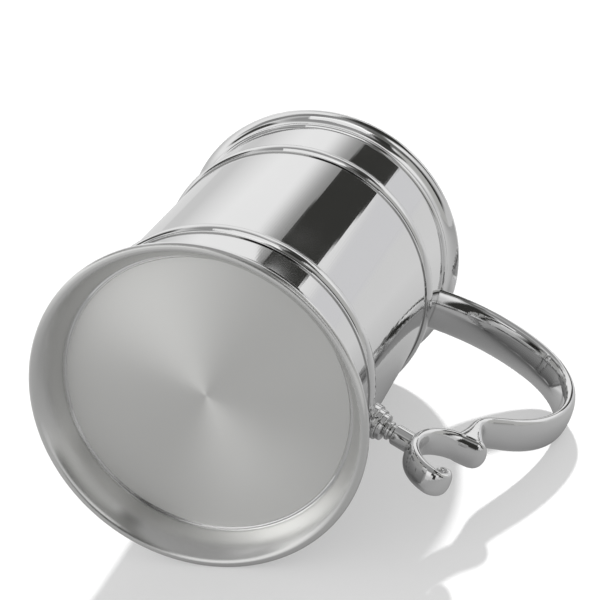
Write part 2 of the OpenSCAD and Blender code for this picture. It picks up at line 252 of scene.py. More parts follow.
def rounded_corners(outline, radius):
    """The closed outline with each sharp corner off the axis replaced by a small curve."""
    sharp = math.radians(25)
    steps = 4
    most_of_edge = 0.45
    softened = []
    for i, corner in enumerate(outline):
        before = Vector(outline[i - 1]) - Vector(corner)
        after = Vector(outline[(i + 1) % len(outline)]) - Vector(corner)
        bend = math.pi - before.angle(after, math.pi)
        if bend < sharp or corner[0] == 0:
            softened.append(corner)
            continue
        reach = min(radius * math.tan(bend / 2), before.length * most_of_edge, after.length * most_of_edge)
        start = Vector(corner) + before.normalized() * reach
        end = Vector(corner) + after.normalized() * reach
        softened += eased(start, corner, end, steps)
    return softened


def arc(centre, radius, start, end, steps):
    """Points on an arc about a centre, from one angle to another in radians."""
    turns = [start + (end - start) * k / steps for k in range(steps + 1)]
    return [(centre[0] + radius * math.cos(t), centre[1] + radius * math.sin(t)) for t in turns]


def upright_arc_radius(across, rise):
    """Radius of an arc that starts upright and reaches across by one length over the other."""
    return (across * across + rise * rise) / (2 * across)


def walk(start, runs, pitch):
    """Frames (x, z, heading, distance) along straights (length, 0) and arcs (radius, turn)."""
    x, z, heading = start
    distance = 0.0
    frames = [(x, z, heading, distance)]
    for size, turn in runs:
        run = size if turn == 0 else size * abs(turn)
        steps = max(1, math.ceil(run / pitch))
        for k in range(1, steps + 1):
            u = k / steps
            if turn == 0:
                place = (x + size * u * math.cos(heading), z + size * u * math.sin(heading), heading)
            else:
                side = math.copysign(size, turn)
                faced = heading + turn * u
                place = (x + side * (math.sin(faced) - math.sin(heading)),
                         z - side * (math.cos(faced) - math.cos(heading)), faced)
            frames.append((*place, distance + run * u))
        x, z, heading, distance = frames[-1]
    return frames


def add_node(tree, kind, inputs=None, **settings):
    """Adds a node with its settings, and sets or links its inputs."""
    made = tree.nodes.new(kind)
    for key, value in settings.items():
        setattr(made, key, value)
    for key, value in (inputs or {}).items():
        if isinstance(value, bpy.types.NodeSocket):
            tree.links.new(value, made.inputs[key])
        else:
            made.inputs[key].default_value = value
    return made


def math_node(tree, operation, *values):
    """The result of a sum on numbers or sockets."""
    return add_node(tree, "ShaderNodeMath", dict(enumerate(values)), operation=operation).outputs[0]


def new_tree(name, inputs):
    """A geometry node tree with named inputs, and its input node."""
    tree = bpy.data.node_groups.new(name, "GeometryNodeTree")
    tree.is_modifier = True
    for label, kind in inputs:
        tree.interface.new_socket(label, in_out="INPUT", socket_type=kind)
    tree.interface.new_socket("Geometry", in_out="OUTPUT", socket_type="NodeSocketGeometry")
    return tree, add_node(tree, "NodeGroupInput").outputs


def finish_tree(tree, geometry, given):
    """Closes the mesh's seams, shades it smooth but for its sharp edges, and gives it its material."""
    seam = 1e-6
    merged = add_node(tree, "GeometryNodeMergeByDistance", {"Geometry": geometry, "Distance": seam})
    bend = add_node(tree, "GeometryNodeInputMeshEdgeAngle").outputs["Unsigned Angle"]
    soft = add_node(tree, "FunctionNodeCompare", {0: bend, 1: given["Smooth Angle"]}, operation="LESS_THAN")
    shaded = add_node(tree, "GeometryNodeSetShadeSmooth", {
        "Geometry": merged.outputs["Geometry"], "Shade Smooth": soft.outputs["Result"]}, domain="EDGE")
    real = add_node(tree, "GeometryNodeRealizeInstances", {"Geometry": shaded.outputs["Geometry"]})
    finished = add_node(tree, "GeometryNodeSetMaterial", {
        "Geometry": real.outputs["Geometry"], "Material": given["Material"]})
    add_node(tree, "NodeGroupOutput", {"Geometry": finished.outputs["Geometry"]})


def position(tree):
    """The place of each point."""
    return add_node(tree, "GeometryNodeInputPosition").outputs[0]


def sampled(tree, source, index, value, kind="FLOAT"):
    """A value at one point of a source."""
    return add_node(tree, "GeometryNodeSampleIndex", {
        "Geometry": source, "Index": index, "Value": value}, data_type=kind).outputs[0]


def sampled_label(tree, source, index, label):
    """A named attribute's value at one point of a source."""
    value = add_node(tree, "GeometryNodeInputNamedAttribute", {"Name": label}).outputs["Attribute"]
    return sampled(tree, source, index, value)


def point_count(tree, source):
    """How many points a source has."""
    return add_node(tree, "GeometryNodeAttributeDomainSize", {0: source}).outputs["Point Count"]


def wrapped_grid(tree, columns, sides):
    """A grid to wrap round a piece, with each point's share along it and its angle round it."""
    rows = math_node(tree, "ADD", sides, 1.0)
    grid = add_node(tree, "GeometryNodeMeshGrid", {
        "Size X": 1.0, "Size Y": 1.0, "Vertices X": columns, "Vertices Y": rows}).outputs["Mesh"]
    place = add_node(tree, "ShaderNodeSeparateXYZ", {0: position(tree)}).outputs
    # The grid is one unit wide, and half of it lies below zero
    along = math_node(tree, "ADD", place["X"], 0.5)
    around = math_node(tree, "MULTIPLY", place["Y"], math.tau)
    return grid, along, around


def turned_tree():
    """Geometry nodes that turn a closed outline, drawn in the XZ plane, round the Z axis."""
    tree, given = new_tree("Turned piece", (
        ("Outline", "NodeSocketGeometry"), ("Segments", "NodeSocketInt"),
        ("Smooth Angle", "NodeSocketFloat"), ("Material", "NodeSocketMaterial")))
    source = given["Outline"]
    points = point_count(tree, source)
    grid, along, around = wrapped_grid(tree, math_node(tree, "ADD", points, 1.0), given["Segments"])
    step = math_node(tree, "ROUND", math_node(tree, "MULTIPLY", along, points))
    index = math_node(tree, "MODULO", step, points)
    point = sampled(tree, source, index, position(tree), "FLOAT_VECTOR")
    outline = add_node(tree, "ShaderNodeSeparateXYZ", {0: point}).outputs
    place = add_node(tree, "ShaderNodeCombineXYZ", {
        "X": math_node(tree, "MULTIPLY", outline["X"], math_node(tree, "COSINE", around)),
        "Y": math_node(tree, "MULTIPLY", outline["X"], math_node(tree, "SINE", around)),
        "Z": outline["Z"]}).outputs[0]
    marked = add_node(tree, "GeometryNodeStoreNamedAttribute", {
        "Geometry": grid, "Name": "satin", "Value": sampled_label(tree, source, index, "satin")}).outputs[0]
    moved = add_node(tree, "GeometryNodeSetPosition", {"Geometry": marked, "Position": place}).outputs[0]
    finish_tree(tree, moved, given)
    return tree


def strap_tree():
    """Geometry nodes that sweep a cushion-shaped section along a path in the XZ plane."""
    tree, given = new_tree("Swept strap", (
        ("Path", "NodeSocketGeometry"), ("Sides", "NodeSocketInt"),
        ("Smooth Angle", "NodeSocketFloat"), ("Material", "NodeSocketMaterial")))
    source = given["Path"]
    points = point_count(tree, source)
    grid, along, around = wrapped_grid(tree, points, given["Sides"])
    last = math_node(tree, "SUBTRACT", points, 1.0)
    index = math_node(tree, "ROUND", math_node(tree, "MULTIPLY", along, last))
    centre = sampled(tree, source, index, position(tree), "FLOAT_VECTOR")
    read = {label: sampled_label(tree, source, index, label) for label in SECTION}
    exponent = math_node(tree, "DIVIDE", 2.0, read["power"])
    reach = {}
    for label, wave in (("half_width", "COSINE"), ("half_thick", "SINE")):
        swing = math_node(tree, wave, around)
        full = math_node(tree, "POWER", math_node(tree, "ABSOLUTE", swing), exponent)
        signed = math_node(tree, "MULTIPLY", full, math_node(tree, "SIGN", swing))
        reach[label] = math_node(tree, "MULTIPLY", signed, read[label])
    back = math_node(tree, "MULTIPLY", math_node(tree, "SINE", read["heading"]), -1.0)
    upward = math_node(tree, "COSINE", read["heading"])
    offset = add_node(tree, "ShaderNodeCombineXYZ", {
        "X": math_node(tree, "MULTIPLY", reach["half_thick"], back),
        "Y": reach["half_width"],
        "Z": math_node(tree, "MULTIPLY", reach["half_thick"], upward)}).outputs[0]
    swept = add_node(tree, "GeometryNodeSetPosition", {
        "Geometry": grid, "Position": centre, "Offset": offset}).outputs[0]
    finish_tree(tree, swept, given)
    return tree


def made_by(name, source, tree, **inputs):
    """A plain mesh object made by a node tree from a source mesh, with its faces turned outward."""
    made = bpy.data.objects.new(name, source)
    bpy.context.scene.collection.objects.link(made)
    modifier = made.modifiers.new(tree.name, "NODES")
    modifier.node_group = tree
    for item in tree.interface.items_tree:
        label = item.name.lower().replace(" ", "_")
        if item.in_out == "INPUT" and label in inputs:
            modifier[item.identifier] = inputs[label]
    graph = bpy.context.evaluated_depsgraph_get()
    mesh = bpy.data.meshes.new_from_object(made.evaluated_get(graph), depsgraph=graph)
    made.modifiers.clear()
    made.data = mesh
    bpy.data.meshes.remove(source)
    mesh.name = name
    shape = bmesh.new()
    shape.from_mesh(mesh)
    bmesh.ops.recalc_face_normals(shape, faces=shape.faces)
    shape.to_mesh(mesh)
    shape.free()
    return made


def turned(name, outline, sizes, material, satin=None):
    """A turned piece from a closed outline of (radius, height) points, and the share of satin there."""
    source = bpy.data.meshes.new(name + "_outline")
    source.from_pydata([(r, 0.0, z) for r, z in outline], [], [])
    shares = source.attributes.new("satin", "FLOAT", "POINT")
    for i, point in enumerate(outline):
        shares.data[i].value = satin(*point) if satin else 0.0
    return made_by(name, source, bpy.data.node_groups.get("Turned piece") or turned_tree(),
                   segments=sizes.segments, smooth_angle=sizes.smooth, material=material)


def strap(name, sections, handle, material):
    """A swept strap from sections of (x, z, heading, half width, half thickness, power)."""
    source = bpy.data.meshes.new(name + "_path")
    source.from_pydata([(s[0], 0.0, s[1]) for s in sections], [], [])
    for column, label in enumerate(SECTION, 2):
        values = source.attributes.new(label, "FLOAT", "POINT")
        for i, section in enumerate(sections):
            values.data[i].value = section[column]
    return made_by(name, source, bpy.data.node_groups.get("Swept strap") or strap_tree(),
                   sides=handle.sides, smooth_angle=handle.smooth, material=material)


def tip_sections(frame_at, half_width, half_thick, power, reach, rings):
    """Sections that round off a strap's end over some length, from the end frame outward."""
    x, z, heading = frame_at[:3]
    sections = []
    for k in range(1, rings + 1):
        turn = math.pi / 2 * k / rings
        ahead = reach * math.sin(turn)
        scale = math.cos(turn) if k < rings else 0.0
        sections.append((x + ahead * math.cos(heading), z + ahead * math.sin(heading), heading,
                         half_width * scale, half_thick * scale, power))
    return sections


def seat_on_barrel(mesh, along, radius):
    """Slides the points inside a radius out to it, along a direction, so a piece ends in the wall."""
    for vertex in mesh.vertices:
        place = vertex.co
        if math.hypot(place.x, place.y) < radius and place.x > 0:
            flat = along.x ** 2 + along.y ** 2
            lead = place.x * along.x + place.y * along.y
            short = place.x ** 2 + place.y ** 2 - radius ** 2
            vertex.co = place + along * ((math.sqrt(lead * lead - flat * short) - lead) / flat)


def linear_colour(text):
    """Linear RGBA of an sRGB hex colour."""
    parts = [int(text[i:i + 2], 16) / 255 for i in (1, 3, 5)]
    return tuple(p / 12.92 if p <= 0.04045 else ((p + 0.055) / 1.055) ** 2.4 for p in parts) + (1.0,)


def empty_material(name):
    """A node material with no nodes, and its tree."""
    made = bpy.data.materials.new(name)
    made.use_nodes = True
    made.node_tree.nodes.clear()
    return made, made.node_tree


def metal_shader(tree, inputs):
    """Ends a material's tree in a metal with these inputs."""
    shader = add_node(tree, "ShaderNodeBsdfPrincipled", {"Metallic": 1.0, **inputs})
    add_node(tree, "ShaderNodeOutputMaterial", {"Surface": shader.outputs[0]})


def noise(tree, place, size, detail):
    """A noise pattern with patches of about this size."""
    return add_node(tree, "ShaderNodeTexNoise", {
        "Vector": place, "Scale": 1 / size, "Detail": detail}).outputs["Fac"]


def bumps(tree, height, strength, distance):
    """Normals bent by a pattern's height, which is weakened by a strength."""
    return add_node(tree, "ShaderNodeBump", {
        "Height": height, "Strength": strength, "Distance": distance}).outputs[0]


def mapped(tree, value, source=(0.0, 1.0), target=(0.0, 1.0), **settings):
    """A value carried from one range to another."""
    return add_node(tree, "ShaderNodeMapRange", {
        "Value": value, "From Min": source[0], "From Max": source[1],
        "To Min": target[0], "To Max": target[1]}, **settings).outputs[0]


def mixed_colour(tree, share, first, second):
    """A colour between two others."""
    return add_node(tree, "ShaderNodeMix", {
        "Factor": share, "A": first, "B": second}, data_type="RGBA").outputs["Result"]


def mixed_shader(tree, share, first, second):
    """A shader between two others."""
    return add_node(tree, "ShaderNodeMixShader", {0: share, 1: first, 2: second}).outputs[0]


def satin_share(tree):
    """The share of satin finish that the mesh carries, which is 0 where it carries none."""
    return add_node(tree, "ShaderNodeAttribute", attribute_name="satin").outputs["Fac"]


def polished_pewter(finish):
    """Mirror-polished pewter: crisp reflections, with the buff's faint haze and hairline drift, and painted
    shade in its corners.
    """
    material, tree = empty_material("Pewter, mirror polished")
    place = add_node(tree, "ShaderNodeTexCoord").outputs["Object"]
    # Patches of the polish are hazier than the rest, and a shade darker
    haze = noise(tree, place, finish.haze_size, 3.0)
    clearest, haziest, darkest = 0.6, 1.5, 0.97
    rough = finish.polished_roughness
    mirror = mapped(tree, haze, NOISE_RANGE, (rough * clearest, rough * haziest))
    roughness = add_node(tree, "ShaderNodeMix", {
        "Factor": satin_share(tree), "A": mirror, "B": finish.satin_roughness}).outputs[0]
    colour = linear_colour(finish.polished)
    tone = mixed_colour(tree, haze, colour, tuple(c * darkest for c in colour[:3]) + (1.0,))
    # The cast and rolled surface waves by a few microns, which bends long reflections a little
    wave = noise(tree, place, finish.wave_size, 1.0)
    wave_strength = 0.05
    # Painted shade: in corners and crevices, found by ambient occlusion, the colour turns darker
    corner_clearance = add_node(tree, "ShaderNodeAmbientOcclusion", {"Distance": finish.corner_shade_reach}).outputs["AO"]
    full_shade_below, no_shade_above = 0.3, 0.8
    unshaded_share = mapped(tree, corner_clearance, (full_shade_below, no_shade_above))
    metal_shader(tree, {
        "Base Color": mixed_colour(tree, unshaded_share, linear_colour(finish.corner_shade), tone),
        "Roughness": roughness,
        "Normal": bumps(tree, wave, wave_strength, finish.wave_height)})
    return material


def satin_pewter(finish):
    """Satin pewter off the lathe: fine rings that draw the light into a bow-tie across the base."""
    material, tree = empty_material("Pewter, satin turned")
    place = add_node(tree, "ShaderNodeTexCoord").outputs["Object"]
    parts = add_node(tree, "ShaderNodeSeparateXYZ", {0: place}).outputs
    flat = add_node(tree, "ShaderNodeCombineXYZ", {"X": parts["X"], "Y": parts["Y"]}).outputs[0]
    radius = add_node(tree, "ShaderNodeVectorMath", {0: flat}, operation="LENGTH").outputs["Value"]
    # Tool marks run round the axis
    marks = add_node(tree, "ShaderNodeTexNoise", {
        "W": radius, "Scale": 1 / finish.mark_pitch, "Detail": 2.0}, noise_dimensions="1D").outputs["Fac"]
    mark_strength = 0.25
    # Handling leaves patches that are a little smoother or rougher
    patches = noise(tree, place, finish.patch_size, 4.0)
    smoothest, roughest = 0.9, 1.1
    rough = finish.satin_roughness
    satin = mapped(tree, patches, target=(rough * smoothest, rough * roughest))
    share = satin_share(tree)
    tone = mixed_colour(tree, share, linear_colour(finish.polished), linear_colour(finish.satin))
    quarter_turn = 0.25
    metal_shader(tree, {
        "Base Color": tone,
        "Roughness": add_node(tree, "ShaderNodeMix", {
            "Factor": share, "A": finish.polished_roughness, "B": satin}).outputs[0],
        "Normal": bumps(tree, marks, mark_strength, finish.mark_depth),
        "Tangent": add_node(tree, "ShaderNodeTangent", direction_type="RADIAL", axis="Z").outputs[0],
        "Anisotropic": finish.anisotropy,
        "Anisotropic Rotation": quarter_turn})
    return material


def material_named(name, make, finish):
    """The material of that name, made when first asked for."""
    return bpy.data.materials.get(name) or make(finish)


def polished_metal():
    """The mirror-polished finish."""
    return material_named("Pewter, mirror polished", polished_pewter, bpy.context.scene.tankard_finish)


def satin_metal():
    """The satin finish."""
    return material_named("Pewter, satin turned", satin_pewter, bpy.context.scene.tankard_finish)


def placed(piece, node):
    """Sets a finished piece into the frame in place of its CAD node."""
    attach(piece, BODY)
    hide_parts(node)


def band_outline(low, high, strip_height, strip_thick, body):
    """Outline of a half-round band between two corners of its box, with fillet strips or none."""
    radius = BARREL_HIGH.x
    out = high.x - radius
    half = (high.z - low.z) / 2 - strip_height
    middle = (low.z + high.z) / 2
    bead = upright_arc_radius(out, half)
    spread = math.asin(half / bead)
    inside = radius - body.sink
    crest = arc((radius + out - bead, middle), bead, -spread, spread, body.arc_steps)
    if strip_height == 0:
        return [(inside, low.z)] + crest + [(inside, high.z)]
    side = radius + strip_thick
    return ([(inside, low.z), (side, low.z), (side, low.z + strip_height)] + crest
            + [(side, high.z - strip_height), (side, high.z), (inside, high.z)])


class TANKARD_OT_body(bpy.types.Operator):
    """Turn the barrel, its bands and its flared rim"""
    bl_idname = "tankard.body"
    bl_label = "Barrel, bands and rim"

    def execute(self, context):
        body = context.scene.tankard_body
        metal = polished_metal()
        radius = BARREL_HIGH.x
        bore = radius - body.wall
        low, high = BARREL_LOW.z, BARREL_HIGH.z
        wall = [(bore, low), (radius, low), (radius, high), (bore, high)]

        def barrel_satin(r, z):
            """The barrel is polished outside and satin inside."""
            return 1.0 if r < radius - body.wall / 2 else 0.0

        placed(turned("pewter_barrel", wall, body, metal, barrel_satin), "barrel")
        for node in ("lower_band", "upper_band"):
            low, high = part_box(node)
            outline = band_outline(low, high, body.strip_height, body.strip_thick, body)
            ring = turned("pewter_" + node, rounded_corners(outline, body.edge_break), body, metal)
            placed(ring, node)
        low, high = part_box("rim_astragal")
        placed(turned("pewter_rim_astragal", band_outline(low, high, 0, 0, body), body, metal),
               "rim_astragal")
        placed(turned("pewter_rim_lip", self.rim_outline(body), body, metal), "rim_lip")
        return {"FINISHED"}

    @staticmethod
    def rim_outline(body):
        """Outline of the flared rim: neck, outer cove, rolled lip and the flare's inside."""
        radius = BARREL_HIGH.x
        bore = radius - body.wall
        cove = Vector((radius + body.rim_cove, RIM_LOW.z + body.rim_neck))
        inner = body.rim_cove + body.wall
        roll_z = RIM_HIGH.z - body.lip
        roll = Vector((RIM_HIGH.x - body.lip, roll_z))
        apart = (roll - cove).length
        toward = math.atan2(roll.y - cove.y, roll.x - cove.x)
        corner = math.acos((apart ** 2 + body.rim_cove ** 2 - body.lip ** 2) / (2 * apart * body.rim_cove))
        meet = toward - corner
        touch = cove + Vector((math.cos(meet), math.sin(meet))) * body.rim_cove
        roll_start = math.atan2(touch.y - roll.y, touch.x - roll.x)
        inside_end = math.pi - math.asin((roll_z - cove.y) / inner)
        steps = body.arc_steps
        return ([(bore, RIM_LOW.z), (radius, RIM_LOW.z)]
                + arc(cove, body.rim_cove, math.pi, meet, steps)
                + arc(roll, body.lip, roll_start, math.pi, 2 * steps)[1:]
                + arc(cove, inner, inside_end, math.pi, steps)[1:])


class TANKARD_OT_foot(bpy.types.Operator):
    """Turn the spreading foot and the base plate inside it"""
    bl_idname = "tankard.foot"
    bl_label = "Foot and base plate"

    def execute(self, context):
        body = context.scene.tankard_body
        finish = context.scene.tankard_finish
        metal = satin_metal()
        radius = BARREL_HIGH.x
        ledge = radius - body.ledge
        groove = ledge - body.groove_inset
        top, under = PLATE_HIGH.z, PLATE_LOW.z
        deep = under + body.groove_depth
        plate = [(0.0, top), (radius, top), (radius, under), (groove, under), (groove, deep),
                 (groove - body.groove_width, deep), (groove - body.groove_width, under), (0.0, under)]

        def plate_satin(r, z):
            """The plate is satin, but for the groove near its edge."""
            return 0.0 if r > groove - body.groove_width + body.edge_break else 1.0

        rounded = rounded_corners(plate, body.edge_break)
        disc = turned("pewter_base_plate", rounded, body, metal, plate_satin)
        placed(disc, "base_plate")
        edge = body.foot_edge / 2
        edge_centre = (FOOT_HIGH.x - edge, edge)
        shoulder = radius + body.foot_top
        cove = upright_arc_radius(edge_centre[0] - shoulder, FOOT_HIGH.z - body.foot_edge)
        cove_end = -math.asin((FOOT_HIGH.z - body.foot_edge) / cove)
        land = FOOT_HIGH.x - body.land
        drop = FOOT_HIGH.z - under
        centre = (land ** 2 - ledge ** 2 + FOOT_HIGH.z ** 2 - drop ** 2) / (2 * (land - ledge))
        inner = math.hypot(centre - ledge, drop)
        inner_start = math.pi + math.asin(drop / inner)
        inner_end = math.pi + math.asin(FOOT_HIGH.z / inner)
        steps = body.arc_steps
        wall = arc((centre, FOOT_HIGH.z), inner, inner_start, inner_end - body.land_ease / inner, steps)
        on_land = (land + body.land_ease * body.land_share, 0.0)
        outline = (wall + eased(wall[-1], (land, 0.0), on_land, steps)[1:]
                   + arc(edge_centre, edge, -math.pi / 2, math.pi / 2, steps)
                   + arc((shoulder + cove, FOOT_HIGH.z), cove, math.pi - cove_end, math.pi, steps)[1:]
                   + [(radius, FOOT_HIGH.z), (radius, under)])

        slack = 0.01 * MM
        polished_from = edge_centre[0] + edge * finish.edge_polish

        def foot_satin(r, z):
            """The foot is polished outside and half satin underneath."""
            on_cove = math.hypot(r - shoulder - cove, z - FOOT_HIGH.z) < cove + slack
            return 0.0 if on_cove or r > polished_from else finish.foot_satin

        rounded = rounded_corners(outline, body.edge_break)
        ring = turned("pewter_foot_ring", rounded, body, metal, foot_satin)
        placed(ring, "foot_ring")
        return {"FINISHED"}


class TANKARD_OT_handle(bpy.types.Operator):
    """Sweep the two castings of the handle: the grip and the scroll it stands on"""
    bl_idname = "tankard.handle"
    bl_label = "Handle"

    def execute(self, context):
        handle = context.scene.tankard_handle
        body = context.scene.tankard_body
        metal = polished_metal()
        radius = BARREL_HIGH.x
        seat = radius - body.wall / 2
        scroll_x = SCROLL_LOW.x + handle.scroll_radius + handle.scroll_thick / 2
        scroll_z = SCROLL_HIGH.z - handle.scroll_thick / 2
        knuckle_x = scroll_x + handle.scroll_lead

        # The grip is walked up from the knuckle's foot to the barrel
        sunk = handle.scroll_thick / 4
        runs = [(sunk, 0.0), (handle.knuckle, 0.0), (handle.reverse_radius, -handle.reverse_turn),
                (handle.lower_arm, 0.0), (handle.bow_radius, handle.bow_turn),
                (handle.top_radius, handle.top_turn)]
        frames = walk((knuckle_x, GRIP_LOW.z - sunk, math.pi / 2), runs, handle.pitch)
        sweep = frames[-1][3] - sunk
        outside = radius + handle.root_thick / 4
        sections = []
        for x, z, heading, distance in frames:
            if x < outside and z > BARREL_HIGH.z / 2:
                break
            above = distance - sunk
            taper = (1 - max(above, 0.0) / sweep) ** 2
            flare = max(1 - abs(above) / handle.flare_length, 0.0) ** 2
            width = handle.root_width + (handle.knuckle_width - handle.root_width) * taper
            thick = handle.root_thick + (handle.knuckle_thick - handle.root_thick) * taper
            power = handle.power + (handle.root_power - handle.power) * (max(above, 0.0) / sweep) ** 2
            power += (handle.knuckle_power - handle.power) * flare
            sections.append((x, z, heading, width / 2, thick / 2 + handle.flare / 2 * flare, power))
        x, z, heading = sections[-1][:3]
        inward = Vector((math.cos(heading), 0.0, math.sin(heading)))
        buried = handle.root_thick
        end = (x + inward.x * buried, z + inward.z * buried, heading)
        sections = [(*sections[0][:3], 0.0, 0.0, handle.power)] + sections
        sections += [(*end, *sections[-1][3:]), (*end, 0.0, 0.0, handle.power)]
        grip = strap("pewter_handle_grip", sections, handle, metal)
        seat_on_barrel(grip.data, -inward, seat)
        placed(grip, "handle_grip")

        # The scroll runs back from its rounded end, round the C and into the volute
        start_x = SCROLL_HIGH.x - handle.scroll_end
        arm = start_x - scroll_x
        curl = handle.scroll_radius * handle.scroll_turn
        volute = handle.volute_radius * handle.volute_turn + handle.eye_radius * handle.eye_turn
        runs = [(arm, 0.0), (handle.scroll_radius, handle.scroll_turn),
                (handle.volute_radius, handle.volute_turn), (handle.eye_radius, handle.eye_turn)]
        frames = walk((start_x, scroll_z, math.pi), runs, handle.pitch)
        sections = []
        for x, z, heading, distance in frames:
            curled = min(max(distance - arm, 0.0) / curl, 1.0)
            rolled = max(distance - arm - curl, 0.0) / volute
            width = handle.scroll_width + (handle.tail_width - handle.scroll_width) * curled
            width += (handle.tip_width - handle.tail_width) * rolled
            thick = handle.scroll_thick + (handle.tip_thick - handle.scroll_thick) * rolled
            sections.append((x, z, heading, width / 2, thick / 2, handle.power))
        back = (start_x, scroll_z, 0.0)
        opening = tip_sections(back, handle.scroll_width / 2, handle.scroll_thick / 2, handle.power,
                               handle.scroll_end, handle.tip_rings)
        turned_back = [(s[0], s[1], math.pi, *s[3:]) for s in reversed(opening)]
        closing = tip_sections(frames[-1], handle.tip_width / 2, handle.tip_thick / 2, handle.power,
                               handle.tip_thick / 2, handle.tip_rings)
        scroll = strap("pewter_handle_scroll", turned_back + sections + closing, handle, metal)
        placed(scroll, "handle_scroll")
        return {"FINISHED"}


class TANKARD_OT_strut(bpy.types.Operator):
    """Turn the strut that ties the scroll to the barrel: pad, spindle and socket"""
    bl_idname = "tankard.strut"
    bl_label = "Strut"

    def execute(self, context):
        strut = context.scene.tankard_strut
        handle = context.scene.tankard_handle
        body = context.scene.tankard_body
        metal = polished_metal()
        radius = BARREL_HIGH.x
        scroll_x = SCROLL_LOW.x + handle.scroll_radius + handle.scroll_thick / 2
        centre_z = SCROLL_HIGH.z - handle.scroll_thick / 2 - handle.scroll_radius
        foot = Vector((radius, 0.0, centre_z + strut.pad_rise))
        reach = Vector((scroll_x, 0.0, centre_z)) - foot
        along = reach.normalized()
        tilt = math.atan2(along.x, along.z)
        axis = Matrix.Translation(foot) @ Matrix.Rotation(tilt, 4, "Y")
        ring_at = strut.pad_thick + strut.inner_ring_thick + strut.gap
        socket_at = ring_at + strut.outer_ring_thick + strut.gap
        socket_end = reach.length - handle.scroll_radius - handle.scroll_thick / 2 + strut.socket_depth
        tucked = strut.gap / 2
        neck = strut.neck / 2
        pad = [(0.0, -strut.flange), (strut.flange / 2, -strut.flange),
               (strut.flange / 2, strut.flange_thick), (strut.step / 2, strut.flange_thick),
               (strut.step / 2, strut.pad_thick), (0.0, strut.pad_thick)]
        inner_end = strut.pad_thick + strut.inner_ring_thick
        ring_end = ring_at + strut.outer_ring_thick
        spindle = [(0.0, strut.pad_thick - tucked), (strut.inner_ring / 2, strut.pad_thick - tucked),
                   (strut.inner_ring / 2, inner_end), (neck, inner_end), (neck, ring_at),
                   (strut.outer_ring / 2, ring_at), (strut.outer_ring / 2, ring_end), (neck, ring_end),
                   (neck, socket_at + tucked), (0.0, socket_at + tucked)]
        socket = [(0.0, socket_at), (strut.socket / 2 - strut.socket_chamfer, socket_at),
                  (strut.socket / 2, socket_at + strut.socket_chamfer), (strut.socket / 2, socket_end),
                  (0.0, socket_end)]
        for node, outline in (("strut_pad", pad), ("strut_spindle", spindle), ("strut_socket", socket)):
            piece = turned("pewter_" + node, rounded_corners(outline, strut.rounding), strut, metal)
            piece.data.transform(axis)
            if node == "strut_pad":
                seat_on_barrel(piece.data, along, radius - body.wall / 2)
            placed(piece, node)
        return {"FINISHED"}


